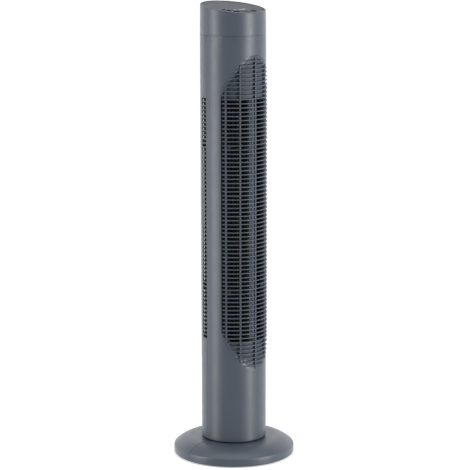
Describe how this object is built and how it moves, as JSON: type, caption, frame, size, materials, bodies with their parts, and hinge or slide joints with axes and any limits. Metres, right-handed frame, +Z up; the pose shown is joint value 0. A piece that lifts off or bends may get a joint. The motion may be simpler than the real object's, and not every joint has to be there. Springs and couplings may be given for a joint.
{
  "type": "tower fan",
  "caption": "Round oscillating tower fan on a split disc base: finned front outlet, slotted rear inlet, slanted top with control keys, cross-flow blower inside.",
  "frame": {"origin": "bottom centre, on the feet's plane and the column's axis", "axes": "+Z up along the column, -Y out of the air outlet, +X to the right of someone facing along +Y at its front"},
  "size_m": [0.22, 0.22, 0.823],
  "materials": {
    "slate_shell": "satin moulded slate grey",
    "black_moulding": "matt black moulding",
    "rubber": "matt black rubber",
    "nylon": "natural nylon",
    "steel": "plated steel",
    "bronze": "sintered bronze",
    "zinc": "cast zinc alloy",
    "copper": "lacquered copper wire",
    "capacitor_case": "matt black case",
    "wire_sleeve": "black sleeve",
    "circuit_board": "green solder mask",
    "display_gloss": "black gloss window",
    "key_gloss": "black gloss key"
  },
  "bodies": {
    "base": {"base_front_half": "slate_shell", "base_rear_half": "slate_shell", "base_feet": "rubber", "swivel_seat": "black_moulding", "slide_ring": "nylon", "seat_screws": "steel", "hub_washer": "steel", "hub_nut": "nylon"},
    "tower": {"column_floor": "black_moulding", "front_shell": "slate_shell", "rear_shell": "slate_shell", "housing_screws": "steel", "cord_gland": "rubber", "front_grille": "slate_shell", "upper_baffle": "slate_shell", "lower_baffle": "slate_shell", "centre_stay": "slate_shell", "scroll_wall": "black_moulding", "vortex_tongue": "black_moulding", "blower_bottom_plate": "black_moulding", "blower_top_plate": "black_moulding", "upper_bush_holder": "rubber", "upper_bush": "bronze", "motor_lower_cap": "zinc", "motor_upper_cap": "zinc", "motor_stator": "steel", "motor_windings": "copper", "motor_bushes": "bronze", "motor_grommets": "rubber", "motor_screws": "steel", "swing_motor": "steel", "swing_motor_screws": "steel", "run_capacitor": "capacitor_case", "terminal_block": "nylon", "wire_harness": "wire_sleeve", "head_shell": "slate_shell", "top_cover": "slate_shell", "display_window": "display_gloss", "display_module": "black_moulding", "control_board": "circuit_board", "board_screws": "steel", "key_switches": "black_moulding"},
    "impeller": {"impeller": "black_moulding", "motor_rotor": "steel", "motor_shaft": "steel", "impeller_screw": "steel", "top_pin": "steel"},
    "crank": {"crank_arm": "nylon", "crank_roller": "steel"},
    "key_power_cap": {"key_power": "key_gloss"},
    "key_speed_cap": {"key_speed": "key_gloss"},
    "key_timer_cap": {"key_timer": "key_gloss"},
    "key_swing_cap": {"key_swing": "key_gloss"}
  },
  "joints": [
    {"name": "oscillation", "type": "hinge", "parent": "base", "child": "tower", "pos_m": [0, 0, 0.034], "axis": [0, 0, 1], "range_deg": [-30, 30]},
    {"name": "impeller_spin", "type": "hinge", "parent": "tower", "child": "impeller", "pos_m": [0, 0, 0.2], "axis": [0, 0, 1], "continuous": true},
    {"name": "crank_turn", "type": "hinge", "parent": "tower", "child": "crank", "pos_m": [0, 0.029, 0.0285], "axis": [0, 0, 1], "range_deg": [-90, 90]},
    {"name": "press_power", "type": "slide", "parent": "tower", "child": "key_power_cap", "axis": [0, 0.1437, -0.9896], "range_m": [0, 0.0008], "stiffness_N_per_m": 400},
    {"name": "press_speed", "type": "slide", "parent": "tower", "child": "key_speed_cap", "axis": [0, 0.1437, -0.9896], "range_m": [0, 0.0008], "stiffness_N_per_m": 400},
    {"name": "press_timer", "type": "slide", "parent": "tower", "child": "key_timer_cap", "axis": [0, 0.1437, -0.9896], "range_m": [0, 0.0008], "stiffness_N_per_m": 400},
    {"name": "press_swing", "type": "slide", "parent": "tower", "child": "key_swing_cap", "axis": [0, 0.1437, -0.9896], "range_m": [0, 0.0008], "stiffness_N_per_m": 400}
  ],
  "couplings": [
    {"joint": "crank_turn", "follows": "oscillation", "ratio": -3}
  ]
}
